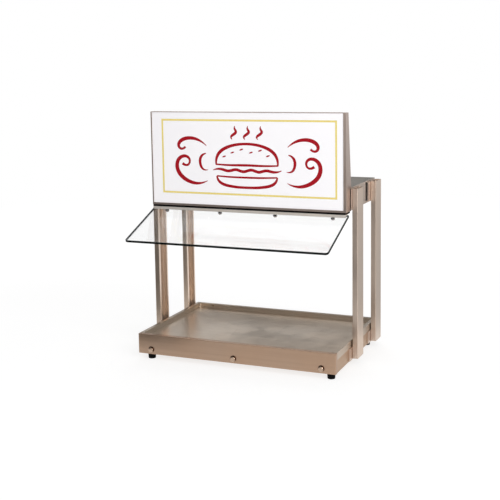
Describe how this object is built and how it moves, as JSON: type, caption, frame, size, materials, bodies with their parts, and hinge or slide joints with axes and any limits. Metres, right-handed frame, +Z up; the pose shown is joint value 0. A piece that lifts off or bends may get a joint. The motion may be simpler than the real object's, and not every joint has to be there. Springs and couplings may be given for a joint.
{
  "type": "heated display case",
  "caption": "Counter-top heated display case: shallow heated base, four channel posts, heater canopy, lit wedge-shaped sign box and a tilted glass guard over the open front.",
  "frame": {"origin": "on the counter, at the bottom of the feet, under the middle of the overall width and depth", "axes": "+X to the right as the customer sees it, +Y to the operator side at the rear, +Z up"},
  "size_m": [0.647, 0.4848, 0.721],
  "materials": {
    "stainless": "brushed",
    "stainless_warm": "brushed",
    "galvanised": "satin",
    "zinc": "zinc plated",
    "dome_chrome": "polished",
    "black_rubber": "matte",
    "black_plastic": "matte",
    "rocker_plastic": "gloss",
    "white_plastic": "matte",
    "glass": "polished edges",
    "sign_acrylic": "gloss, translucent",
    "lamp_glass": "opal",
    "aluminium_bar": "satin anodised",
    "reflector": "polished",
    "element_sheath": "oxidised",
    "ceramic": "unglazed",
    "silicone": "matte",
    "glass_wool": "fibrous",
    "ballast_paint": "enamel",
    "blackened_steel": "blackened",
    "blade_brass": "satin"
  },
  "bodies": {
    "case": {"base_pan": "stainless", "post_front_left": "stainless", "post_front_right": "stainless", "post_rear_left": "stainless", "post_rear_right": "stainless", "canopy_cover": "stainless", "sign_housing": "stainless", "front_fascia": "stainless_warm", "deck_tray": "stainless_warm", "insulation_rails": "galvanised", "lower_post_brackets": "galvanised", "upper_post_brackets": "galvanised", "canopy_pan": "galvanised", "element_clip": "galvanised", "sign_guides": "galvanised", "lower_nut_bars": "zinc", "upper_nut_bars": "zinc", "post_bolts": "zinc", "fascia_nuts": "zinc", "foot_screws": "zinc", "foot_nuts": "zinc", "sign_screws": "zinc", "bar_screws": "zinc", "guard_screws": "zinc", "control_nuts": "zinc", "heater_guard": "zinc", "fascia_screws": "dome_chrome", "feet": "black_rubber", "glass_gasket": "black_rubber", "glass_washers": "black_rubber", "power_switch_body": "black_plastic", "light_switch_body": "black_plastic", "power_inlet": "black_plastic", "deck_thermostat": "black_plastic", "canopy_regulator": "black_plastic", "terminal_block": "white_plastic", "lamp_holders": "white_plastic", "glass_guard": "glass", "sign_lamp": "lamp_glass", "glass_bar": "aluminium_bar", "deck_dial": "aluminium_bar", "canopy_dial": "aluminium_bar", "rating_plate": "aluminium_bar", "heater_reflector": "reflector", "heater_element": "element_sheath", "element_bushings": "ceramic", "deck_heater_mat": "silicone", "deck_insulation": "glass_wool", "sign_ballast": "ballast_paint", "glass_screws": "blackened_steel", "inlet_blades": "blade_brass"},
    "sign_panel": {"sign_panel": "sign_acrylic"},
    "deck_knob": {"deck_knob": "black_plastic", "deck_knob_shaft": "zinc"},
    "canopy_knob": {"canopy_knob": "black_plastic", "canopy_knob_shaft": "zinc"},
    "power_rocker": {"power_switch_rocker": "rocker_plastic"},
    "light_rocker": {"light_switch_rocker": "rocker_plastic"}
  },
  "joints": [
    {"name": "sign_panel_lift", "type": "slide", "parent": "case", "child": "sign_panel", "axis": [0, 0, 1], "range_m": [0, 0.26]},
    {"name": "deck_knob_turn", "type": "hinge", "parent": "case", "child": "deck_knob", "pos_m": [-0.16, 0.22589, 0.04], "axis": [0, -1, 0], "range_deg": [0, 270]},
    {"name": "canopy_knob_turn", "type": "hinge", "parent": "case", "child": "canopy_knob", "pos_m": [-0.16, 0.21559, 0.478], "axis": [0, -1, 0], "range_deg": [0, 270]},
    {"name": "power_switch_rock", "type": "hinge", "parent": "case", "child": "power_rocker", "pos_m": [-0.228, 0.22669, 0.04], "axis": [1, 0, 0], "range_deg": [0, 18]},
    {"name": "light_switch_rock", "type": "hinge", "parent": "case", "child": "light_rocker", "pos_m": [-0.228, 0.21639, 0.478], "axis": [1, 0, 0], "range_deg": [0, 18]}
  ]
}
